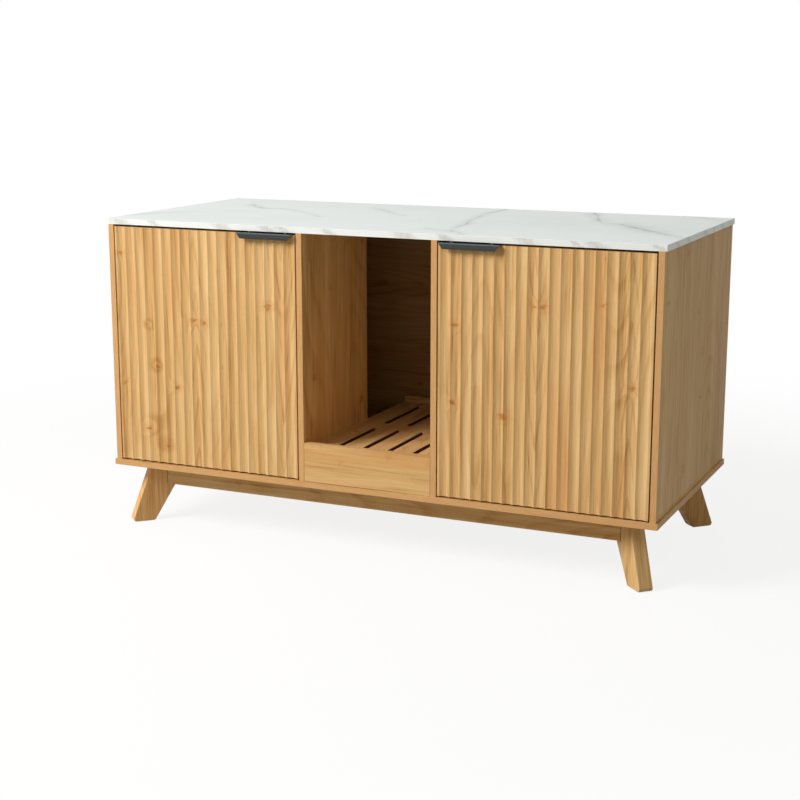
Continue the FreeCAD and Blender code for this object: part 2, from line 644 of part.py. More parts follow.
# A sheet-metal pull: it sits on the door's top edge, reaches out over the front and turns down,
# and its front face narrows toward the bottom.
def makeHandle(side, name):
    handle = newBody(f"{name}_handle")
    profile = newSketch(handle, "YZ_Plane", f"{side} * {handleNear}")
    seatRearY = f"{frontY} + size.handleSeatDepth"
    outline(profile, [(seatRearY, doorTopZ), (seatRearY, handleTopZ), (handleFaceY, handleTopZ),
                      (handleFaceY, handleLowZ),
                      (f"{handleFaceY} + size.handleReturn", handleLowZ),
                      (f"{handleFaceY} + size.handleReturn",
                       f"{handleLowZ} + size.handleThickness"),
                      (f"{handleFaceY} + size.handleThickness",
                       f"{handleLowZ} + size.handleThickness"),
                      (f"{handleFaceY} + size.handleThickness", doorTopZ)])
    sheetPad = pad(handle, profile, "size.handleLength", side)

    def bend(inset):
        near = value(handleFaceY) + inset
        heights = (value(handleTopZ) - inset, value(handleLowZ) + inset)

        def isBend(edge):
            start, end = edge.Vertexes[0].Point, edge.Vertexes[-1].Point
            lengthwise = abs(start.y - end.y) + abs(start.z - end.z) < 1e-6
            return (lengthwise and abs(start.y - near) < 1e-6
                    and min(abs(start.z - height) for height in heights) < 1e-6)
        return isBend

    outer = fillet(handle, sheetPad, bend(0), "size.handleBendRadius")
    fillet(handle, outer, bend(value("size.handleThickness")),
           "size.handleBendRadius - size.handleThickness")
    ends = newSketch(handle, "XZ_Plane", handleFaceY)
    for end, slant in ((handleNear, "size.handleEndSlant"), (handleFar, "-size.handleEndSlant")):
        outline(ends, [(f"{side} * {end}", handleTopZ), (f"{side} * {end}", handleLowZ),
                       (f"{side} * ({end} + {slant})", handleLowZ)])
    pocket(handle, ends, "size.handleReach", 1)
    drill(handle, "XY_Plane", handleTopZ, handleScrewPlaces(side), smallScrewHole,
          "size.handleThickness", -1)
    smallScrews(f"{name}_handle_screws", "XY_Plane", handleTopZ, handleScrewPlaces(side), -1,
                "size.handleScrewLength")


# A sunk cup in the door's back with its flange, and the link that stands out of the cup.
def makeHingeCup(side, label, hingeZ):
    cup = newBody(label)
    post(cup, "XZ_Plane", doorBackY, [(f"{side} * {cupX}", hingeZ)], "size.cupDiameter",
         "size.cupDepth", -1)
    post(cup, "XZ_Plane", doorBackY, [(f"{side} * {cupX}", hingeZ)],
         "size.cupDiameter + 2 * size.cupRimWidth", "size.cupFlangeThickness", 1)
    wings = newSketch(cup, "XZ_Plane", doorBackY)
    rectangle(wings, f"{side} * ({cupScrewX} - size.cupFlangeWidth / 2)",
              f"{side} * ({cupScrewX} + size.cupFlangeWidth / 2)",
              f"{hingeZ} - size.cupFlangeLength / 2", f"{hingeZ} + size.cupFlangeLength / 2")
    pad(cup, wings, "size.cupFlangeThickness", 1)
    drill(cup, "XZ_Plane", cupFlangeRearY, [(f"{side} * {cupX}", hingeZ)],
          "size.cupDiameter - 2 * size.cupWall",
          "size.cupFlangeThickness + size.cupDepth - size.cupWall", -1)
    drill(cup, "XZ_Plane", cupFlangeRearY, cupScrewPlaces(side, hingeZ), smallScrewHole,
          "size.cupFlangeThickness", -1)
    link = newSketch(cup, "XZ_Plane", cupFloorY)
    rectangle(link, f"{side} * {linkX}", f"{side} * ({linkX} - size.linkThickness)",
              f"{hingeZ} - size.linkWidth / 2", f"{hingeZ} + size.linkWidth / 2")
    pad(cup, link, "size.cupDepth - size.cupWall + size.linkRise", 1)


# The fixed arm: a narrow nose beside the link, and a channel that sits on the mounting plate.
def makeHingeArm(side, label, hingeZ):
    arm = newBody(label)
    plan = newSketch(arm, "XY_Plane", f"{hingeZ} - size.armWidth / 2")
    noseInX = f"({linkX} + size.noseGap)"
    noseOutX = f"({noseInX} + size.noseThickness)"
    armInX = f"({plateTopX} - size.armHeight)"
    corners = [(noseOutX, "size.noseStart"), (noseInX, "size.noseStart"),
               (noseInX, "size.noseEnd"), (armInX, "size.armStart"), (armInX, "size.armEnd"),
               (plateTopX, "size.armEnd"), (plateTopX, "size.armStart"),
               (noseOutX, "size.noseEnd")]
    outline(plan, [(f"{side} * {across}", f"{frontY} + {depth}") for across, depth in corners])
    pad(arm, plan, "size.armWidth", 1)


def makeHingePlate(side, label, hingeZ):
    plate = newBody(label)
    face = newSketch(plate, "YZ_Plane", f"{side} * {sideInner}")
    startY = f"({frontY} + size.plateStart)"
    rectangle(face, startY, f"{startY} + size.plateLength", f"{hingeZ} - size.plateWidth / 2",
              f"{hingeZ} + size.plateWidth / 2")
    pad(plate, face, "size.plateThickness", -side)
    wings = newSketch(plate, "YZ_Plane", f"{side} * {sideInner}")
    rectangle(wings, f"{platePivotY} - size.plateWingLength / 2",
              f"{platePivotY} + size.plateWingLength / 2", f"{hingeZ} - size.plateWingSpan / 2",
              f"{hingeZ} + size.plateWingSpan / 2")
    pad(plate, wings, "size.plateThickness", -side)
    drill(plate, "YZ_Plane", f"{side} * {plateTopX}",
          [(platePivotY, f"{hingeZ} - size.plateScrewSpacing / 2"),
           (platePivotY, f"{hingeZ} + size.plateScrewSpacing / 2")], smallScrewHole,
          "size.plateThickness", side)


# A magnetic catch on the divider, which also stops the inset door, and its plate on the door.
def makeCatch(side, name):
    magnet = newBody(f"{name}_catch")
    inner = f"{side} * {dividerOuter}"
    flange = newSketch(magnet, "YZ_Plane", inner)
    rectangle(flange, catchFrontY, f"{catchFrontY} + size.catchDepth",
              f"{catchZ} - size.catchHeight / 2", f"{catchZ} + size.catchHeight / 2")
    pad(magnet, flange, "size.catchFlangeThickness", side)
    housing = newSketch(magnet, "YZ_Plane", inner)
    rectangle(housing, catchFrontY, f"{catchFrontY} + size.catchDepth",
              f"{catchZ} - size.catchHousingHeight / 2", f"{catchZ} + size.catchHousingHeight / 2")
    pad(magnet, housing, "size.catchReach", side)
    flangeFace = f"{side} * ({dividerOuter} + size.catchFlangeThickness)"
    drill(magnet, "YZ_Plane", flangeFace, catchScrewPlaces, smallScrewHole,
          "size.catchFlangeThickness", -side)
    smallScrews(f"{name}_catch_screws", "YZ_Plane", flangeFace, catchScrewPlaces, -side,
                "size.catchScrewLength")

    strike = newBody(f"{name}_strike_plate")
    face = newSketch(strike, "XZ_Plane", doorBackY)
    rectangle(face, f"{side} * {strikeEdge}", f"{side} * {strikeFar}",
              f"{catchZ} - size.strikeHeight / 2", f"{catchZ} + size.strikeHeight / 2")
    pad(strike, face, "size.strikeThickness", 1)
    places = [(f"{side} * {strikeMiddle}", catchZ)]
    rear = f"({doorBackY} + size.strikeThickness)"
    drill(strike, "XZ_Plane", rear, places, smallScrewHole, "size.strikeThickness", -1)
    drill(strike, "XZ_Plane", rear, places, "size.smallScrewHeadDiameter + size.holeClearance",
          "size.strikeScrewHeadHeight", -1)
    screws(f"{name}_strike_screw", "XZ_Plane", f"({rear} - size.strikeScrewHeadHeight)", places,
           -1, "size.smallScrewDiameter", "size.strikeScrewLength",
           "size.smallScrewHeadDiameter", "size.strikeScrewHeadHeight", "size.smallScrewSocket")


for side, name in SIDES:
    makeDoor(side, name)
    makeHandle(side, name)
    cupScrews = []
    for level, hingeZ in hingeHeights:
        makeHingeCup(side, f"{name}_{level}_hinge_cup", hingeZ)
        makeHingeArm(side, f"{name}_{level}_hinge_arm", hingeZ)
        makeHingePlate(side, f"{name}_{level}_hinge_plate", hingeZ)
        cupScrews += cupScrewPlaces(side, hingeZ)
    smallScrews(f"{name}_cup_screws", "XZ_Plane", cupFlangeRearY, cupScrews, -1,
                "size.cupScrewLength")
    smallScrews(f"{name}_plate_screws", "YZ_Plane", f"{side} * {plateTopX}", plateScrewPlaces,
                side, "size.plateScrewLength")
    makeCatch(side, name)

# Legs: tapered plates, each drawn in its own upright plane and turned onto its diagonal.
insertHole = "size.insertDiameter + size.holeClearance"
legHoleDepth = ("size.legBoltHeadHeight + size.legBoltLength - size.baseThickness"
                " + size.holeClearance")
for label, sideways, endways, turn in LEGS:
    leg = newBody(label)
    side = newSketch(leg, "XZ_Plane", "-size.legThickness / 2")
    outline(side, [("size.legFootOuter", "0"), ("size.legFootOuter + size.legFootWidth", "0"),
                   ("size.legTopOuter + size.legTopWidth", "size.legHeight"),
                   ("size.legTopOuter", "size.legHeight")])
    plate = pad(leg, side, "size.legThickness", 1)
    rounded = fillet(leg, plate, lambda edge: max(vertex.Z for vertex in edge.Vertexes) < 1e-6
                     and abs(edge.Vertexes[0].X - edge.Vertexes[-1].X) < 1e-6,
                     "size.legFootRadius")
    fillet(leg, rounded, lambda edge: abs(edge.Vertexes[0].Y - edge.Vertexes[-1].Y) < 1e-6
           and min(vertex.Z for vertex in edge.Vertexes) < value("size.legHeight") - 1,
           "size.legEdgeRadius")
    drill(leg, "XY_Plane", "size.legHeight", [(reach, "0") for reach in legBoltReaches],
          insertHole, legHoleDepth, -1)
    leg.Placement = Placement(Vector(0, 0, 0), Rotation(Vector(0, 0, 1), turn))
    leg.setExpression("Placement.Base.x", f"{sideways} * {half}")
    leg.setExpression("Placement.Base.y", cornerY(endways))


# Aprons under the base board, mitred to the flat faces of the legs.
def makeApron(label, outerY, cornerY, toward, places):
    apron = newBody(label)
    plan = newSketch(apron, "XY_Plane", "size.legHeight - size.apronHeight")
    innerY = f"({outerY} + ({toward}) * size.apronThickness)"
    ends = [f"({half} - ({toward}) * ({depth} - {cornerY}) - size.legThickness / sqrt(2))"
            for depth in (outerY, innerY)]
    outline(plan, [(f"-{ends[0]}", outerY), (ends[0], outerY), (ends[1], innerY),
                   (f"-{ends[1]}", innerY)])
    pad(apron, plan, "size.apronHeight", 1)
    drill(apron, "XY_Plane", "size.legHeight", places, screwHole, edgeScrewDepth, -1)


makeApron("front_apron", apronFrontY, baseFrontY, 1, frontApronPlaces)
makeApron("rear_apron", apronRearY, rearY, -1, rearApronPlaces)

# Fasteners.
screws("leg_bolts", "XY_Plane", f"({floorZ} - size.legBoltHeadHeight)", allLegBoltPlaces, -1,
       "size.legBoltDiameter", "size.legBoltLength", "size.legBoltHeadDiameter",
       "size.legBoltHeadHeight", "size.legBoltSocket")
inserts = newBody("leg_inserts")
post(inserts, "XY_Plane", "size.legHeight", allLegBoltPlaces, "size.insertDiameter",
     "size.insertLength", -1)
drill(inserts, "XY_Plane", "size.legHeight", allLegBoltPlaces,
      "size.legBoltDiameter + size.holeClearance", "size.insertLength", -1)
woodScrews("apron_screws", "XY_Plane", f"({floorZ} - size.screwHeadHeight)",
           frontApronPlaces + rearApronPlaces, -1)
woodScrews("base_screws", "XY_Plane", "(size.legHeight + size.screwHeadHeight)", baseScrewPlaces,
           1)
endScrews = newBody("front_board_screws")
for side, name in SIDES:
    seat = f"{side} * ({dividerOuter} - size.screwHeadHeight)"
    post(endScrews, "YZ_Plane", seat, endScrewPlaces, "size.screwHeadDiameter",
         "size.screwHeadHeight", side)
    post(endScrews, "YZ_Plane", seat, endScrewPlaces, "size.screwDiameter", "size.screwLength",
         -side)
    drill(endScrews, "YZ_Plane", f"{side} * {dividerOuter}", endScrewPlaces, "size.screwSocket",
          "size.socketDepth", -side)
woodScrews("rear_board_screws", "XZ_Plane", f"({lowRearRearY} - size.screwHeadHeight)",
           bothSides(railEndPlaces), -1)

dowels = newBody("panel_dowels")
post(dowels, "XY_Plane", f"{floorZ} - size.dowelSeat", dowelPlaces, "size.dowelDiameter",
     "size.dowelLength", 1)
backDowels = newBody("back_dowels")
for side, name in SIDES:
    post(backDowels, "YZ_Plane", f"{side} * ({sideInner} + size.dowelSeat)", backDowelPlaces,
         "size.dowelDiameter", "size.dowelLength", -side)

# Each cam turns in a panel's face and pulls on a bolt that stands in the top.
camBolts = newBody("cam_bolts")
post(camBolts, "XY_Plane", f"{ceilingZ} + size.camBoltSeat", camPlaces, "size.camBoltDiameter",
     "size.camBoltSeat + size.camDrop - size.camDiameter / 2", -1)
cams = newBody("cam_locks")
for side, name in SIDES:
    for face, places, into in ((sideInner, sideCamPlaces[side], side),
                               (dividerOuter, dividerCamPlaces[side], -side)):
        heights = [(depth, camZ) for across, depth in places]
        post(cams, "YZ_Plane", f"{side} * {face}", heights, "size.camDiameter", "size.camDepth",
             into)
        drill(cams, "YZ_Plane", f"{side} * {face}", heights, "size.screwSocket",
              "size.socketDepth", into)

doc.recompute()

for entry in doc.Objects:
    if "Invalid" in entry.State or "Error" in entry.State:
        raise RuntimeError(f"{entry.Label} failed: {entry.State}")
    if entry.TypeId == "PartDesign::Pocket":
        if entry.Shape.Volume >= entry.BaseFeature.Shape.Volume - 1e-6:
            raise RuntimeError(f"{entry.Label} cuts nothing")

os.makedirs("parts", exist_ok=True)
for body in nodes:
    if body.Shape.isNull() or not body.Shape.isValid():
        raise RuntimeError(f"{body.Label} has no valid shape")
    print(body.Label, len(body.Shape.Solids), round(body.Shape.Volume))
    body.Shape.exportStep(f"parts/{body.Label}.step")
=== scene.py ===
import bpy
import json
import math
from functools import reduce
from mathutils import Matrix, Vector


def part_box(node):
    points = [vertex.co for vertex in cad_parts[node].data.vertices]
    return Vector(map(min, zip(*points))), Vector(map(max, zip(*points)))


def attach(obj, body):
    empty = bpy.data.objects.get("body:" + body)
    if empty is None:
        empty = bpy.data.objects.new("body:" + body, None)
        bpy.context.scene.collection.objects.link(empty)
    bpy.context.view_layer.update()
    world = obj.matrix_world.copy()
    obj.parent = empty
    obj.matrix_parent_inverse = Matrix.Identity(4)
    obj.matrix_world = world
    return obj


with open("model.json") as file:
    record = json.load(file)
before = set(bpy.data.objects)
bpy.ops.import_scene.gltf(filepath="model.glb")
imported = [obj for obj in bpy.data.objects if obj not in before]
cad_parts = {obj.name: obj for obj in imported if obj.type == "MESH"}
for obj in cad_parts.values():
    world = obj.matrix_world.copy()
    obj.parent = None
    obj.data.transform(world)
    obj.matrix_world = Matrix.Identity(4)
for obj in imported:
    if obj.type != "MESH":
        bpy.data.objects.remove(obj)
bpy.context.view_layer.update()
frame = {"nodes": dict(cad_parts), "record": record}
nodes = frame["nodes"]
print("frame loaded:", len(nodes), "pieces")

metresPerMillimetre = 0.001
white = (1.0, 1.0, 1.0, 1.0)


def colour(red, green, blue):  # a display colour, 0 to 255, as linear light
    def linear(level):  # the curve of sRGB
        level = level / 255
        return level / 12.92 if level <= 0.04045 else ((level + 0.055) / 1.055) ** 2.4
    return (linear(red), linear(green), linear(blue), 1.0)


class Wire:  # one output in a node tree; sums and products of it add Math nodes
    def __init__(self, tree, socket):
        self.tree = tree
        self.socket = socket

    def maths(self, operation, *values, clamp=False):
        settings = {"operation": operation, "use_clamp": clamp}
        return self.tree.add("ShaderNodeMath", settings, *values)

    def __add__(self, other):
        return self.maths("ADD", self, other)

    def __radd__(self, other):
        return self.maths("ADD", other, self)

    def __sub__(self, other):
        return self.maths("SUBTRACT", self, other)

    def __rsub__(self, other):
        return self.maths("SUBTRACT", other, self)

    def __mul__(self, other):
        return self.maths("MULTIPLY", self, other)

    def __rmul__(self, other):
        return self.maths("MULTIPLY", other, self)

    def __abs__(self):
        return self.maths("ABSOLUTE", self)

    def fraction(self):
        return self.maths("FRACT", self)

    def root(self):
        return self.maths("SQRT", self)

    def sign(self):
        return self.maths("SIGN", self)

    def larger(self, other):
        return self.maths("MAXIMUM", self, other)

    def smaller(self, other):
        return self.maths("MINIMUM", self, other)

    def limited(self):  # kept between 0 and 1
        return self.maths("ADD", self, 0.0, clamp=True)

    def centred(self):  # a noise, which lies about a half, brought about zero
        return self - 0.5

    def rise(self, low, high):  # 0 below low, 1 above high, smooth between
        settings = {"interpolation_type": "SMOOTHSTEP"}
        return self.tree.add("ShaderNodeMapRange", settings,
                             Value=self, **{"From Min": low, "From Max": high})

    def fall(self, low, high):
        return 1 - self.rise(low, high)

    def ridge(self, low, top, end):  # up from low to top, and down again to end
        return self.rise(low, top) * self.fall(top, end)

    def parts(self):
        split = self.tree.add("ShaderNodeSeparateXYZ", {}, self).socket.node
        return [Wire(self.tree, output) for output in split.outputs]


class Tree:  # a node tree with one way to add a node
    def __init__(self, nodeTree):
        self.nodeTree = nodeTree

    def add(self, kind, settings=None, *values, **named):
        node = self.nodeTree.nodes.new(kind)
        for name, setting in (settings or {}).items():
            if name == "stops":
                self.setStops(node.color_ramp, setting)
            else:
                setattr(node, name, setting)
        free = [socket for socket in node.inputs if socket.enabled]
        for socket, value in zip(free, values):
            self.plug(socket, value)
        for name, value in named.items():
            self.plug(next(socket for socket in free if socket.name == name), value)
        return Wire(self, next((output for output in node.outputs if output.enabled), None))

    def plug(self, socket, value):
        if isinstance(value, list):  # a socket that takes several links
            for link in value:
                self.plug(socket, link)
        elif isinstance(value, Wire):
            self.nodeTree.links.new(value.socket, socket)
        else:
            socket.default_value = value

    def setStops(self, ramp, stops):
        while len(ramp.elements) < len(stops):
            ramp.elements.new(1.0)
        for element, (position, shade) in zip(ramp.elements, stops):
            element.position = position
            element.color = shade

    def output(self, wire, name):  # another output of the same node
        return Wire(self, wire.socket.node.outputs[name])

    def seen(self):  # 1 for what the camera, a gloss or a clear part shows
        paths = self.add("ShaderNodeLightPath")
        shown = paths.larger(self.output(paths, "Is Glossy Ray"))
        return shown.larger(self.output(paths, "Is Transmission Ray"))


class Finish(Tree):  # a surface finish
    def __init__(self, name):
        self.material = bpy.data.materials.new(name)
        self.material.use_nodes = True
        super().__init__(self.material.node_tree)
        self.nodeTree.nodes.clear()
        self.place = self.output(self.add("ShaderNodeTexCoord"), "Object")
        self.facing = self.output(self.place, "Normal")

    def vector(self, x, y, z):
        return self.add("ShaderNodeCombineXYZ", {}, x, y, z)

    def noise(self, place, scale, detail=2.0, roughness=0.5):
        return self.add("ShaderNodeTexNoise", {}, Vector=place, Scale=scale, Detail=detail,
                        Roughness=roughness)

    def blend(self, factor, first, second):
        return self.add("ShaderNodeMix", {"data_type": "RGBA"}, Factor=factor, A=first, B=second)

    def bump(self, height, depth, strength):
        return self.add("ShaderNodeBump", {}, Height=height, Distance=depth, Strength=strength)

    def close(self, look, **inputs):
        bsdf = self.add("ShaderNodeBsdfPrincipled", {}, **inputs)
        for name, value in look.items():
            bsdf.socket.node.inputs[name].default_value = value
        self.add("ShaderNodeOutputMaterial", {}, bsdf)
        return self.material


oakLook = {
    "pale": colour(229, 192, 137),
    "mid": colour(212, 169, 111),
    "deep": colour(176, 127, 71),
    "streak": colour(208, 150, 90),
    "knot": colour(164, 100, 46),
    "edge": colour(222, 174, 120),
    "edgeDeep": colour(198, 148, 94),
    # the board's brown core, made darker with painted shade for the shaded slot walls
    "core": colour(104, 76, 50),
    # painted shade: a dark brown standing in for the shade inside the cabinet, used on the back,
    # the slatted floor, the slot walls and the rail ends
    "paintedShadeWood": colour(92, 58, 28),
    # painted light: the paler colour that three of the legs blend towards
    "paintedLightLegWood": colour(250, 190, 122),
    "depthTurn": 0.7,  # how fast the figure changes into the board's thickness
    "roughness": 0.5,
    "roughnessSpread": 0.12,
    "specular": 0.1,
    "relief": {"fibres": 0.6, "lines": 0.3, "pores": 0.5, "depth": 0.0004, "strength": 0.2},
}

# Each noise in the wood: scale across the grain, scale along it, detail and roughness.
oakNoises = {
    "knotEdges": (70, 160, 3.0, 0.5),
    "sway": (3, 4, 1.0, 0.5),
    "ringField": (7, 0.85, 1.0, 0.4),
    "ringWobble": (45, 6, 2.0, 0.5),
    "figured": (5, 1.3, 1.0, 0.5),
    "bands": (22, 0.8, 2.0, 0.5),
    "streaks": (60, 2, 2.0, 0.6),
    "lines": (210, 6, 2.0, 0.6),
    "fibres": (480, 10, 3.0, 0.65),
    "pores": (1300, 70, 1.0, 0.5),
    "flecks": (210, 45, 1.0, 0.5),
    "fleckPatches": (16, 0.6, 1.0, 0.5),
    "warmth": (20, 1.6, 2.0, 0.5),
}

# Where a noise starts to show and where it is full.
oakShown = {"figured": (0.36, 0.62), "pores": (0.62, 0.74), "flecks": (0.66, 0.76),
            "fleckPatches": (0.6, 0.7), "warmth": (0.5, 0.75)}

# What each mark adds to the tone, which is pale at 0 and deep at 1.
oakTone = {"ground": 0.4, "bands": 0.9, "streaks": 0.8, "lines": 1.1, "fibres": 0.7,
           "rings": 0.05, "figuredRings": 0.32, "flecks": 0.4, "arches": 0.28}

# How much of its colour each mark lays over the wood.
oakTint = {"warmth": 0.5, "halo": 0.6, "heart": 0.6, "pores": 0.16}

ringLook = {"count": 26.0, "wobble": 0.35, "knotPull": 0.5, "lateWood": (0.5, 0.88, 1.0)}

# Sizes round a knot are in the pattern's units, and a placed knot's half size is given in them.
knotLook = {"cells": (12, 9), "chance": (0.4, 0.7), "ragged": 0.34, "placedRagged": 0.3,
            "halfAcross": 0.09, "halfAlong": 0.12, "halo": 0.24, "heart": 0.09, "pull": 0.4}

archLook = {"perMetre": 9, "steepness": 72, "roundness": 0.000012, "sway": 0.02,
            "line": (0.55, 0.9, 1.0), "column": (0.008, 0.03), "knotReach": 0.5, "knotPull": 0.6}

edgeLook = {"layersAcross": 300, "layersAlong": 30, "facing": (0.6, 0.8), "band": 0.85,
            "coreGround": 0.25, "coreLayers": 0.5}

paintedJointShadowLook = {"from": 0.0018, "to": 0.0012, "share": 0.8}  # the painted shadow line at a rail's end, in metres

# What the two door faces show, in millimetres: knots as x, z and half size, and the middle
# lines of nested arches as x and 1 where they point up or -1 where they point down.
doorFigure = {
    "left": {"knots": [(-396, 457, 9), (-371, 454, 7), (-217, 497, 10), (-486, 355, 8),
                       (-568, 313, 6), (-439, 313, 8), (-513, 218, 8), (-467, 183, 10),
                       (-512, 442, 6), (-570, 589, 6)],
             "arches": [(-390, 1), (-185, -1)]},
    "right": {"knots": [(190, 489, 9), (349, 534, 7), (367, 533, 9), (187, 336, 8),
                        (289, 317, 10), (483, 544, 7), (544, 396, 7)],
              "arches": [(356, -1), (540, 1)]},
}


class Oak(Finish):  # oak with its grain along one axis
    def __init__(self, name, along, seed):
        super().__init__(name)
        x, y, z = self.place.parts()
        self.lengthwise, self.width, self.depth = {
            "x": (x, z, y), "y": (y, x, z), "z": (z, x, y)}[along]
        self.across = self.width + self.depth * oakLook["depthTurn"] + seed
        self.seed = seed

    def stretched(self, acrossScale, alongScale):
        return self.vector(self.across * acrossScale, self.lengthwise * alongScale, self.seed)

    def grain(self, kind):
        acrossScale, alongScale, detail, roughness = oakNoises[kind]
        return self.noise(self.stretched(acrossScale, alongScale), 1.0, detail, roughness)

    def shown(self, kind):
        return self.grain(kind).rise(*oakShown[kind])

    def scatteredKnots(self, amount):  # a few on each board
        cells = self.add("ShaderNodeTexVoronoi", {"voronoi_dimensions": "2D"},
                         Vector=self.stretched(*knotLook["cells"]), Scale=1.0, Randomness=1.0)
        present = self.output(cells, "Color").parts()[0].rise(*knotLook["chance"])
        return cells, present * amount

    def placedKnots(self, places):
        distances = []
        for acrossPlace, alongPlace, half in places:
            half = half * metresPerMillimetre
            aside = self.width - acrossPlace * metresPerMillimetre
            above = self.lengthwise - alongPlace * metresPerMillimetre
            aside = aside * (knotLook["halfAcross"] / half)
            above = above * (knotLook["halfAlong"] / half)
            distances.append((aside * aside + above * above).root())
        return reduce(Wire.smaller, distances)

    def arches(self, middles, near):  # nested arches, which part round the knots
        sway = self.grain("sway").centred() * archLook["sway"]
        marks = []
        for middle, way in middles:
            aside = self.width - middle * metresPerMillimetre + sway
            slope = (aside * aside + archLook["roundness"]).root() * archLook["steepness"]
            parting = near.fall(0.0, archLook["knotReach"]) * archLook["knotPull"]
            nested = (self.lengthwise * archLook["perMetre"] * way + slope + parting).fraction()
            marks.append(nested.ridge(*archLook["line"]) * abs(aside).fall(*archLook["column"]))
        return reduce(Wire.__add__, marks)

    def edgeBand(self, wood, axes, bare):  # the faces across these axes are cut edges
        facings = dict(zip("xyz", self.facing.parts()))
        facing = reduce(Wire.larger, [abs(facings[axis]) for axis in axes])
        layers = self.noise(self.vector(self.width * edgeLook["layersAcross"],
                                        self.lengthwise * edgeLook["layersAlong"],
                                        self.depth * edgeLook["layersAcross"]), 1.0)
        if bare:  # the board's own brown core shows in a cut edge, blended towards painted shade for the shaded slot walls
            core = edgeLook["coreGround"] + layers * edgeLook["coreLayers"]
            band = self.blend(core, oakLook["core"], oakLook["paintedShadeWood"])
        else:
            band = self.blend(layers, oakLook["edge"], oakLook["edgeDeep"])
        share = 1.0 if bare else edgeLook["band"]
        return self.blend(facing.rise(*edgeLook["facing"]) * share, wood, band)


# Figured oak: nested arches where the rings meet the face, long streaks, fine fibres and knots.
def makeOak(name, along, seed, edges="", figure=1.0, lined=1.0, knots=1.0, face=None,
            shade=0.0, paintedCast="paintedShadeWood", bare=False, paintedJointShadowEnd=None):
    oak = Oak(name, along, seed)
    if face:  # this face's own knots
        near, present, ragged = oak.placedKnots(face["knots"]), 1.0, knotLook["placedRagged"]
    else:
        near, present = oak.scatteredKnots(knots)
        ragged = knotLook["ragged"]
    uneven = near + oak.grain("knotEdges").centred() * ragged
    halo = uneven.fall(0.0, knotLook["halo"]) * present
    heart = uneven.fall(0.0, knotLook["heart"]) * present
    pull = near.fall(0.0, knotLook["pull"]) * present

    rings = (oak.grain("ringField") * ringLook["count"]
             + oak.grain("ringWobble").centred() * ringLook["wobble"]
             + pull * ringLook["knotPull"]).fraction()
    lateWood = rings.ridge(*ringLook["lateWood"])
    lateWoodTone = oakTone["rings"] + oakTone["figuredRings"] * oak.shown("figured")
    lines, fibres, pores = oak.grain("lines"), oak.grain("fibres"), oak.shown("pores")
    flecks = oak.shown("flecks") * oak.shown("fleckPatches")

    tone = (oak.grain("bands").centred() * oakTone["bands"]
            + oak.grain("streaks").centred() * oakTone["streaks"]
            + lines.centred() * oakTone["lines"] * lined + oakTone["ground"]
            + fibres.centred() * oakTone["fibres"])
    tone = tone + lateWood * lateWoodTone * figure + flecks * oakTone["flecks"]
    if face:
        tone = tone + oak.arches(face["arches"], near) * oakTone["arches"]
    wood = oak.add("ShaderNodeValToRGB", {"stops": [
        (0.0, oakLook["pale"]), (0.5, oakLook["mid"]), (1.0, oakLook["deep"])]}, tone.limited())
    wood = oak.blend(oak.shown("warmth") * oakTint["warmth"], wood, oakLook["streak"])
    wood = oak.blend(halo * oakTint["halo"], wood, oakLook["streak"])
    wood = oak.blend(heart * oakTint["heart"], wood, oakLook["knot"])
    wood = oak.blend(pores * oakTint["pores"], wood, oakLook["deep"])

    if edges:
        wood = oak.edgeBand(wood, edges, bare)
    # painted shade and painted light: by this share the wood turns towards the painted shade
    # brown on the back and floor, and towards a paler colour on three legs
    if shade:
        wood = oak.blend(shade, wood, oakLook[paintedCast])
    if paintedJointShadowEnd:  # painted shadow: the dark line where a rail's end stands against a leg, for the shade in the joint
        line = abs(oak.lengthwise).rise(paintedJointShadowEnd - paintedJointShadowLook["from"], paintedJointShadowEnd - paintedJointShadowLook["to"])
        wood = oak.blend(line * paintedJointShadowLook["share"], wood, oakLook["paintedShadeWood"])
    relief = oakLook["relief"]
    height = fibres * relief["fibres"] + lines * relief["lines"] - pores * relief["pores"]
    roughness = oakLook["roughness"] + fibres.centred() * oakLook["roughnessSpread"]
    return oak.close({"Specular IOR Level": oakLook["specular"]}, **{
        "Base Color": wood, "Roughness": roughness,
        "Normal": oak.bump(height, relief["depth"], relief["strength"])})


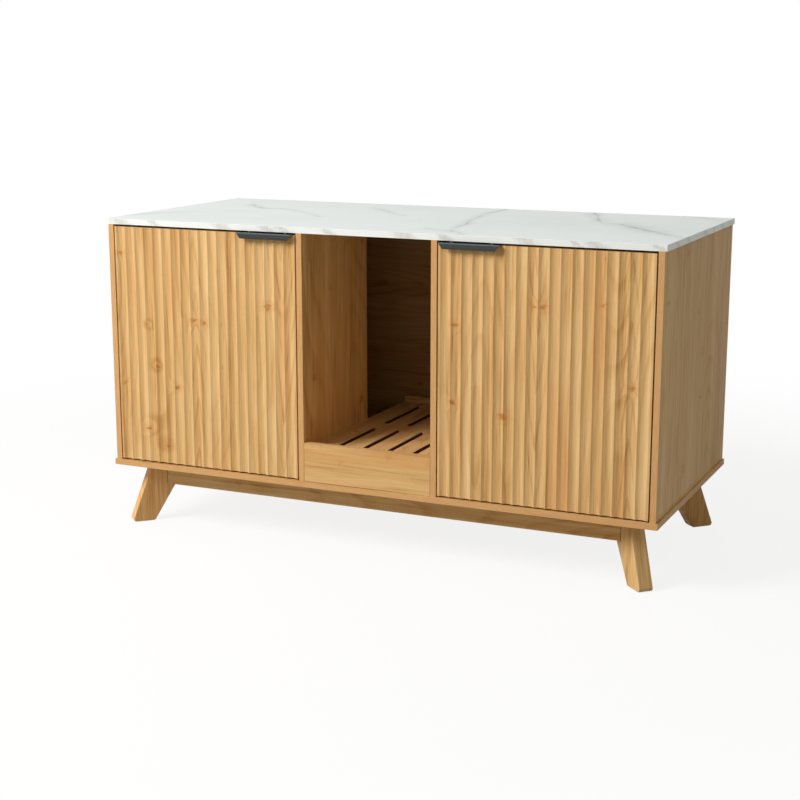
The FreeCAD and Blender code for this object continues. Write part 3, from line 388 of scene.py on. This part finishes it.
marbleLook = {
    "ground": colour(229, 235, 235),
    "cloud": colour(218, 225, 225),
    "vein": colour(158, 162, 157),
    "halo": colour(190, 196, 192),
    "edgeGround": colour(237, 239, 237),
    "edgeMark": colour(168, 164, 154),
    "roughness": 0.38,
    "roughnessSpread": 0.03,
    "specular": 0.4,
    "wander": {"scale": 13.0, "detail": 4.0, "reach": 0.04},  # how the veins stray
    "patches": {"scale": 9.0, "detail": 2.0, "shown": (0.3, 0.62)},
    "clouds": {"scale": 4.0, "detail": 3.0, "shown": (0.4, 0.75), "share": 0.6},
    "haloReach": 5,  # in widths of the vein
    "haloShare": (0.2, 0.4),  # between the patches, and what they add
    "coreShare": (0.2, 0.6),
    # each vein runs through these places on the top, in millimetres, with its width and depth
    "veins": [
        ([(-490, 145), (-410, 66), (-380, 78), (-320, 53), (-205, -50)], 5.0, 0.7),
        ([(-200, 190), (-60, 40)], 5.0, 0.5),
        ([(95, 276), (90, 130), (120, -30), (140, -130), (155, -220)], 5.0, 0.8),
        ([(100, -180), (150, -200), (205, -256)], 5.0, 0.65),
        ([(300, 276), (310, 240), (380, 64), (415, 58)], 7.0, 0.9),
        ([(415, 58), (515, -52)], 12.0, 1.0),
        ([(515, -52), (550, -100), (606, -155)], 8.0, 0.8),
        ([(480, 276), (530, 262), (592, 200)], 6.0, 0.55),
        ([(-596, -200), (-560, -110), (-500, -60)], 8.0, 0.5),
    ],
    # grey marks in the front edge and in the right edge, in millimetres: middle and half length
    "frontMarks": [(-565, 26), (-480, 12), (-320, 24), (-214, 15), (-180, 16), (-80, 14),
                   (86, 28), (171, 14), (336, 24), (430, 9), (470, 22), (586, 9)],
    "rightMarks": [(-190, 14), (-110, 16), (22, 20), (90, 12), (167, 18), (240, 12)],
    "markLean": 1.5,
    "markLevel": 0.98,  # the lean times the height at which a mark is in its place
    "markRagged": {"across": 120, "up": 60, "reach": 0.03},
    "markFade": 1.3,
    "markStreaks": {"across": 160, "up": 220, "ground": 0.3, "streak": 0.8, "share": 0.55},
    "topFacing": (0.5, 0.9),
}


def makeMarble():
    finish = Finish("marble_top")

    def noiseOf(part):
        return finish.noise(finish.place, marbleLook[part]["scale"], marbleLook[part]["detail"])

    shift = finish.add("ShaderNodeVectorMath", {"operation": "SUBTRACT"},
                       finish.output(noiseOf("wander"), "Color"), (0.5, 0.5, 0.5))
    shift = finish.add("ShaderNodeVectorMath", {"operation": "SCALE"}, Vector=shift,
                       Scale=marbleLook["wander"]["reach"])
    bent = finish.add("ShaderNodeVectorMath", {"operation": "ADD"}, finish.place, shift)
    x, y, z = bent.parts()

    def distanceTo(start, end):  # how far a point is from one run of a vein
        run = end - start
        along = ((x - start.x) * (run.x / run.length_squared)
                 + (y - start.y) * (run.y / run.length_squared)).limited()
        offX = x - start.x - along * run.x
        offY = y - start.y - along * run.y
        return (offX * offX + offY * offY).root()

    cores, halos = [], []
    for corners, width, strength in marbleLook["veins"]:
        reach = width * metresPerMillimetre
        places = [Vector(corner) * metresPerMillimetre for corner in corners]
        for start, end in zip(places, places[1:]):
            distance = distanceTo(start, end)
            cores.append(distance.fall(0.0, reach) * strength)
            halos.append(distance.fall(0.0, reach * marbleLook["haloReach"]) * strength)
    patches = noiseOf("patches").rise(*marbleLook["patches"]["shown"])
    clouds = noiseOf("clouds").rise(*marbleLook["clouds"]["shown"])
    top = finish.blend(clouds * marbleLook["clouds"]["share"], marbleLook["ground"],
                       marbleLook["cloud"])
    for masks, (between, added), tint in ((halos, marbleLook["haloShare"], "halo"),
                                          (cores, marbleLook["coreShare"], "vein")):
        share = reduce(Wire.larger, masks) * (between + patches * added)
        top = finish.blend(share, top, marbleLook[tint])

    # the marks lean, and fade at their ends
    sideX, sideY, sideZ = finish.place.parts()
    rough = marbleLook["markRagged"]
    ragged = finish.noise(finish.vector(sideX * rough["across"], sideY * rough["across"],
                                        sideZ * rough["up"]), 1.0).centred() * rough["reach"]

    def edgeMarks(run, marks):
        place = run + sideZ * marbleLook["markLean"] - marbleLook["markLevel"] + ragged
        return reduce(Wire.larger, [
            abs(place - middle * metresPerMillimetre).fall(
                0.0, half * marbleLook["markFade"] * metresPerMillimetre)
            for middle, half in marks])

    facingX, facingY, facingZ = [abs(facing) for facing in finish.facing.parts()]
    marks = (edgeMarks(sideX, marbleLook["frontMarks"]) * facingY
             + edgeMarks(sideY, marbleLook["rightMarks"]) * facingX)
    streaks = marbleLook["markStreaks"]
    streaky = finish.noise(finish.vector(sideX * streaks["across"], sideY * streaks["across"],
                                         sideZ * streaks["up"]), 1.0)
    marks = (marks * (streaks["ground"] + streaky * streaks["streak"])).limited()
    edge = finish.blend(marks * streaks["share"], marbleLook["edgeGround"],
                        marbleLook["edgeMark"])
    surface = finish.blend(facingZ.rise(*marbleLook["topFacing"]), edge, top)
    roughness = marbleLook["roughness"] + patches * marbleLook["roughnessSpread"]
    return finish.close({"Specular IOR Level": marbleLook["specular"]}, **{
        "Base Color": surface, "Roughness": roughness})


coatLook = {
    "coat": colour(38, 44, 44), "mottle": colour(52, 57, 57), "paintedHighlight": colour(112, 117, 115),
    # low: the painted shade colour at the pull's lower edge
    "low": colour(20, 24, 24), "roughness": 0.36, "roughnessSpread": 0.1, "specular": 0.5,
    "bend": 2.0,  # height of the painted highlight along the top bend, in millimetres; the places below are shares of it
    "paintedHighlightFull": 0.4, "paintedHighlightFrom": 0.2, "paintedShadeHeight": 2.5,
    "mottleScale": 60.0, "mottleShare": 0.35, "paintedShadeShare": 0.6, "paintedHighlightShare": 0.5,
    "peel": {"scale": 2600.0, "depth": 0.0001, "strength": 0.25},
}


# The pulls' powder coat, with a painted highlight along the top bend and painted shade at the
# lower edge.
def makeCoated(name):
    finish = Finish(name)
    low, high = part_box("left_handle")
    z = finish.place.parts()[2]
    bend = coatLook["bend"] * metresPerMillimetre
    # painted highlight: a lighter band along the top bend, where the bend would catch the light
    paintedHighlightBand = (z.rise(high.z - bend, high.z - bend * coatLook["paintedHighlightFull"])
              * z.fall(high.z - bend * coatLook["paintedHighlightFrom"], high.z))
    # painted shade: darker towards the lower edge of the pull
    paintedShadeBelow = z.fall(low.z, low.z + bend * coatLook["paintedShadeHeight"])
    mottle = finish.noise(finish.place, coatLook["mottleScale"])
    tint = finish.blend(mottle * coatLook["mottleShare"], coatLook["coat"], coatLook["mottle"])
    tint = finish.blend(paintedShadeBelow * coatLook["paintedShadeShare"], tint, coatLook["low"])
    paintedHighlight = coatLook["paintedHighlightShare"] + mottle * coatLook["paintedHighlightShare"]
    tint = finish.blend(paintedHighlightBand * paintedHighlight, tint, coatLook["paintedHighlight"])
    peel = coatLook["peel"]
    orangePeel = finish.bump(finish.noise(finish.place, peel["scale"]), peel["depth"],
                             peel["strength"])
    roughness = coatLook["roughness"] + mottle.centred() * coatLook["roughnessSpread"]
    return finish.close({"Specular IOR Level": coatLook["specular"]}, **{
        "Base Color": tint, "Roughness": roughness, "Normal": orangePeel})


platedLook = {"brushAcross": 900, "brushUp": 60, "brushDetail": 3.0, "stainScale": 140.0,
              "stainShown": (0.45, 0.8), "stain": colour(120, 118, 112), "stainShare": 0.3,
              "roughnessSpread": 0.2, "depth": 0.0001, "strength": 0.15}


def makePlated(name, shade, roughness):  # plated steel or brass with faint brushing
    finish = Finish(name)
    x, y, z = finish.place.parts()
    place = finish.vector(x * platedLook["brushAcross"], y * platedLook["brushAcross"],
                          z * platedLook["brushUp"])
    brushing = finish.noise(place, 1.0, platedLook["brushDetail"])
    stain = finish.noise(finish.place, platedLook["stainScale"]).rise(*platedLook["stainShown"])
    tint = finish.blend(stain * platedLook["stainShare"], shade, platedLook["stain"])
    roughness = roughness + brushing.centred() * platedLook["roughnessSpread"]
    return finish.close({"Metallic": 1.0}, **{
        "Base Color": tint, "Roughness": roughness,
        "Normal": finish.bump(brushing, platedLook["depth"], platedLook["strength"])})


plasticLook = {"mottleScale": 90.0, "mottleShare": 0.25, "mottle": colour(70, 70, 72),
               "speckleScale": 1800.0, "roughness": 0.5, "roughnessSpread": 0.12,
               "depth": 0.0001, "strength": 0.3}


def makePlastic(name, shade):
    finish = Finish(name)
    speckle = finish.noise(finish.place, plasticLook["speckleScale"])
    mottle = finish.noise(finish.place, plasticLook["mottleScale"], 1.0)
    tint = finish.blend(mottle * plasticLook["mottleShare"], shade, plasticLook["mottle"])
    roughness = plasticLook["roughness"] + speckle * plasticLook["roughnessSpread"]
    return finish.close({}, **{
        "Base Color": tint, "Roughness": roughness,
        "Normal": finish.bump(speckle, plasticLook["depth"], plasticLook["strength"])})


finishes = {
    "leftDoor": makeOak("oak_left_door", "z", 3.1, edges="xz", face=doorFigure["left"]),
    "rightDoor": makeOak("oak_right_door", "z", 9.4, edges="xz", figure=0.6,
                         face=doorFigure["right"]),
    "upright": makeOak("oak_upright", "z", 15.2, edges="y", knots=0.6, figure=0.7),
    "base": makeOak("oak_base", "x", 21.7, edges="xy", knots=0.4),
    "board": makeOak("oak_board", "x", 27.3, edges="z", knots=0.3, figure=0.7),
    # painted shade: the back boards are darkened for the shade inside the cabinet
    "back": makeOak("oak_back", "x", 33.8, knots=0.8, shade=0.55),
    # painted shade: the slatted floor and its rails are a little darkened for the shade inside
    # the cabinet
    "floor": makeOak("oak_floor", "y", 39.1, edges="x", knots=0.5, figure=0.6, shade=0.08,
                     bare=True),
    "rail": makeOak("oak_rail", "x", 45.6, knots=0.6, figure=0.7,
                    paintedJointShadowEnd=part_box("front_apron")[1].x),
    "leg": makeOak("oak_leg", "z", 51.9, knots=0.9, lined=2.2),
    # painted light: the front left and both rear legs blend towards a paler colour, standing in
    # for light they miss; the front right leg keeps the plain finish
    "paintedLightLeg": makeOak("oak_leg_painted_light", "z", 56.3, knots=0.9, lined=2.2, shade=0.35,
                       paintedCast="paintedLightLegWood"),
    "dowel": makeOak("dowel_wood", "z", 60.0, knots=0.0, figure=0.4),
    "marble": makeMarble(),
    "charcoal": makeCoated("charcoal_metal"),
    "hinge": makePlated("hinge_steel", colour(200, 198, 192), 0.3),
    "zinc": makePlated("zinc_steel", colour(186, 188, 190), 0.34),
    "brass": makePlated("brass_insert", colour(214, 178, 104), 0.34),
    "catch": makePlastic("grey_plastic", colour(120, 120, 122)),
}
slotFinish = {
    "marble_top": "marble", "oak_upright": "upright", "oak_board": "board", "oak_floor": "floor",
    "oak_rail": "rail", "oak_leg": "leg", "charcoal_metal": "charcoal", "hinge_steel": "hinge",
    "zinc_steel": "zinc", "brass_insert": "brass", "dowel_wood": "dowel", "grey_plastic": "catch",
}
nodeFinish = {  # these nodes have a finish of their own, whatever their slot
    "left_door": "leftDoor", "right_door": "rightDoor", "base_board": "base",
    "back_upper_board": "back", "back_lower_board": "back",
    "left_floor_rail": "floor", "right_floor_rail": "floor",
    "leg_front_left": "paintedLightLeg", "leg_rear_left": "paintedLightLeg", "leg_rear_right": "paintedLightLeg",
}
for entry in frame["record"]["subparts"]:
    node = nodes[entry["node"]]
    chosen = nodeFinish.get(entry["node"]) or slotFinish[entry["material_slot"]]
    node.data.materials.clear()
    node.data.materials.append(finishes[chosen])
print("finishes on")


def modifierToPiece(maker, name, body):  # a plain mesh of what the modifiers make
    evaluated = maker.evaluated_get(bpy.context.evaluated_depsgraph_get())
    mesh = bpy.data.meshes.new_from_object(evaluated)
    mesh.name = name
    bpy.data.objects.remove(maker)
    piece = bpy.data.objects.new(name, mesh)
    bpy.context.scene.collection.objects.link(piece)
    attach(piece, body)
    return piece


hingeScrewLook = {
    "Head Width": 6.4, "Head Height": 0.9, "Slot Width": 1.1, "Slot Depth": 0.6,  # millimetres
    "sides": 32,
    "topShare": 0.43,  # radius of the head's top, as a share of the head's width
    "slotShare": 0.62,  # length of a slot, as a share of the head's width
    "places": (0.3, 0.74),  # shares of the way from the plate's front to the arm's back
}


# Two adjusting screws with crossed slots on each hinge arm, which faces into the cabinet.
def makeHingeScrews():
    group = bpy.data.node_groups.new("hingeScrews", "GeometryNodeTree")
    sizes = ("Head Width", "Head Height", "Slot Width", "Slot Depth")
    kinds = {"Places": "Geometry", **{name: "Float" for name in sizes}, "Finish": "Material"}
    sockets = {name: group.interface.new_socket(name, in_out="INPUT",
                                                socket_type="NodeSocket" + kind)
               for name, kind in kinds.items()}
    group.interface.new_socket("Screws", in_out="OUTPUT", socket_type="NodeSocketGeometry")
    tree = Tree(group)
    given = tree.add("NodeGroupInput")
    width, height, slotWidth, slotDepth = [tree.output(given, name) for name in sizes]
    head = tree.add("GeometryNodeMeshCone", {}, Vertices=hingeScrewLook["sides"], **{
        "Radius Bottom": width * 0.5, "Radius Top": width * hingeScrewLook["topShare"],
        "Depth": height})
    slotLength = width * hingeScrewLook["slotShare"]
    slots = []
    for long, wide in ((slotLength, slotWidth), (slotWidth, slotLength)):
        size = tree.add("ShaderNodeCombineXYZ", {}, long, wide, slotDepth * 2)
        slot = tree.add("GeometryNodeMeshCube", {}, Size=size)
        lift = tree.add("ShaderNodeCombineXYZ", {}, 0.0, 0.0, height)
        slots.append(tree.add("GeometryNodeTransform", {}, slot, Translation=lift))
    cut = tree.add("GeometryNodeMeshBoolean", {"operation": "DIFFERENCE"},
                   **{"Mesh 1": head, "Mesh 2": slots})
    sideways = tree.add("GeometryNodeInputPosition").parts()[0].sign()
    inward = tree.add("ShaderNodeCombineXYZ", {}, sideways * -1, 0.0, 0.0)
    turn = tree.add("FunctionNodeAlignRotationToVector", {"axis": "Z"}, Vector=inward)
    screws = tree.add("GeometryNodeInstanceOnPoints", {}, Points=tree.output(given, "Places"),
                      Instance=cut, Rotation=turn)
    screws = tree.add("GeometryNodeRealizeInstances", {}, screws)
    screws = tree.add("GeometryNodeSetMaterial", {}, Geometry=screws,
                      Material=tree.output(given, "Finish"))
    tree.add("NodeGroupOutput", {}, screws)

    places = []
    for side in ("left", "right"):
        for level in ("lower", "upper"):
            low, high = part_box(f"{side}_{level}_hinge_arm")
            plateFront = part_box(f"{side}_{level}_hinge_plate")[0].y
            inner = high.x if side == "left" else low.x
            for share in hingeScrewLook["places"]:
                places.append((inner, plateFront + share * (high.y - plateFront),
                               (low.z + high.z) / 2))
    points = bpy.data.meshes.new("hingeScrewPlaces")
    points.from_pydata(places, [], [])
    maker = bpy.data.objects.new("hingeScrewMaker", points)
    bpy.context.scene.collection.objects.link(maker)
    modifier = maker.modifiers.new("screws", "NODES")
    modifier.node_group = group
    for name in sizes:
        modifier[sockets[name].identifier] = hingeScrewLook[name] * metresPerMillimetre
    modifier[sockets["Finish"].identifier] = finishes["zinc"]
    return modifierToPiece(maker, "hinge_adjusting_screws", "cabinet")


hingeScrews = makeHingeScrews()
print("hinge screws:", len(hingeScrews.data.polygons), "faces")


# The floor lies just under the legs, and only the shadow near the feet shows on it.
stageLook = {"floor": colour(190, 190, 188), "seenFloor": colour(250, 250, 250), "size": 30.0,
             "level": -0.0003, "shadow": 0.15, "clearFrom": 0.9, "clearTo": 2.2}


def makeStage():
    finish = Finish("stage")
    seen = finish.seen()
    pale = finish.blend(seen, stageLook["floor"], stageLook["seenFloor"])
    matt = finish.add("ShaderNodeBsdfDiffuse", {}, pale)
    bright = finish.add("ShaderNodeEmission", {}, white, 1.0)
    x, y, z = finish.place.parts()
    clear = (x * x + y * y).root().rise(stageLook["clearFrom"], stageLook["clearTo"])
    glow = seen * (1 - (1 - clear) * stageLook["shadow"])
    surface = finish.add("ShaderNodeMixShader", {}, glow, matt, bright)
    finish.add("ShaderNodeOutputMaterial", {}, surface)
    half = stageLook["size"] / 2
    level = stageLook["level"]
    mesh = bpy.data.meshes.new("stage")
    mesh.from_pydata([(-half, -half, level), (half, -half, level), (half, half, level),
                      (-half, half, level)], [], [(0, 1, 2, 3)])
    stage = bpy.data.objects.new("stage", mesh)
    stage.data.materials.append(finish.material)
    bpy.context.scene.collection.objects.link(stage)


worldLook = {"tint": (1.0, 1.0, 0.86, 1.0), "strength": 0.3}


def makeWorld():
    world = bpy.data.worlds.new("studio")
    world.use_nodes = True
    world.node_tree.nodes.clear()
    tree = Tree(world.node_tree)
    soft = tree.add("ShaderNodeBackground", {}, worldLook["tint"], worldLook["strength"])
    pale = tree.add("ShaderNodeBackground", {}, white, 1.0)
    surface = tree.add("ShaderNodeMixShader", {}, tree.seen(), soft, pale)
    tree.add("ShaderNodeOutputWorld", {}, surface)
    bpy.context.scene.world = world


# Metres and watts. The key lamp doesn't shine in gloss, so the top keeps its colour from behind.
lampLook = {
    "key": {"place": (-2.5, -3.0, 3.2), "target": (0.0, 0.0, 0.35), "size": 2.0, "power": 222.0,
            "tint": (1.0, 0.985, 0.99), "shines": False},
    "back fill": {"place": (-0.8, 3.4, 0.34), "target": (0.0, 0.3, 0.33), "size": 0.5,
                  "power": 36.0, "tint": (1.0, 0.99, 0.97), "shines": True},
}


def addLamp(name, look):
    lamp = bpy.data.lights.new(name, "AREA")
    lamp.shape = "SQUARE"
    lamp.size = look["size"]
    lamp.energy = look["power"]
    lamp.color = look["tint"]
    thing = bpy.data.objects.new(name, lamp)
    thing.location = look["place"]
    aim = Vector(look["target"]) - Vector(look["place"])
    thing.rotation_euler = aim.to_track_quat("-Z", "Y").to_euler()
    thing.visible_camera = False
    thing.visible_glossy = look["shines"]
    bpy.context.scene.collection.objects.link(thing)


# The photograph's view: metres, degrees, and millimetres for the lens and the sensor.
cameraLook = {"place": (1.3123, -2.9924, 0.9802), "pitch": 12.213, "yaw": 24.392, "lens": 70.2,
              "sensor": 36.0}


def addCamera():
    camera = bpy.data.cameras.new("camera")
    camera.sensor_width = cameraLook["sensor"]
    camera.lens = cameraLook["lens"]
    thing = bpy.data.objects.new("camera", camera)
    thing.location = cameraLook["place"]
    thing.rotation_euler = (math.radians(90 - cameraLook["pitch"]), 0.0,
                            math.radians(cameraLook["yaw"]))
    bpy.context.scene.collection.objects.link(thing)
    bpy.context.scene.camera = thing


makeStage()
makeWorld()
for lampName, look in lampLook.items():
    addLamp(lampName, look)
addCamera()
bpy.context.scene.view_settings.view_transform = "Standard"
print("stage, light and camera set")
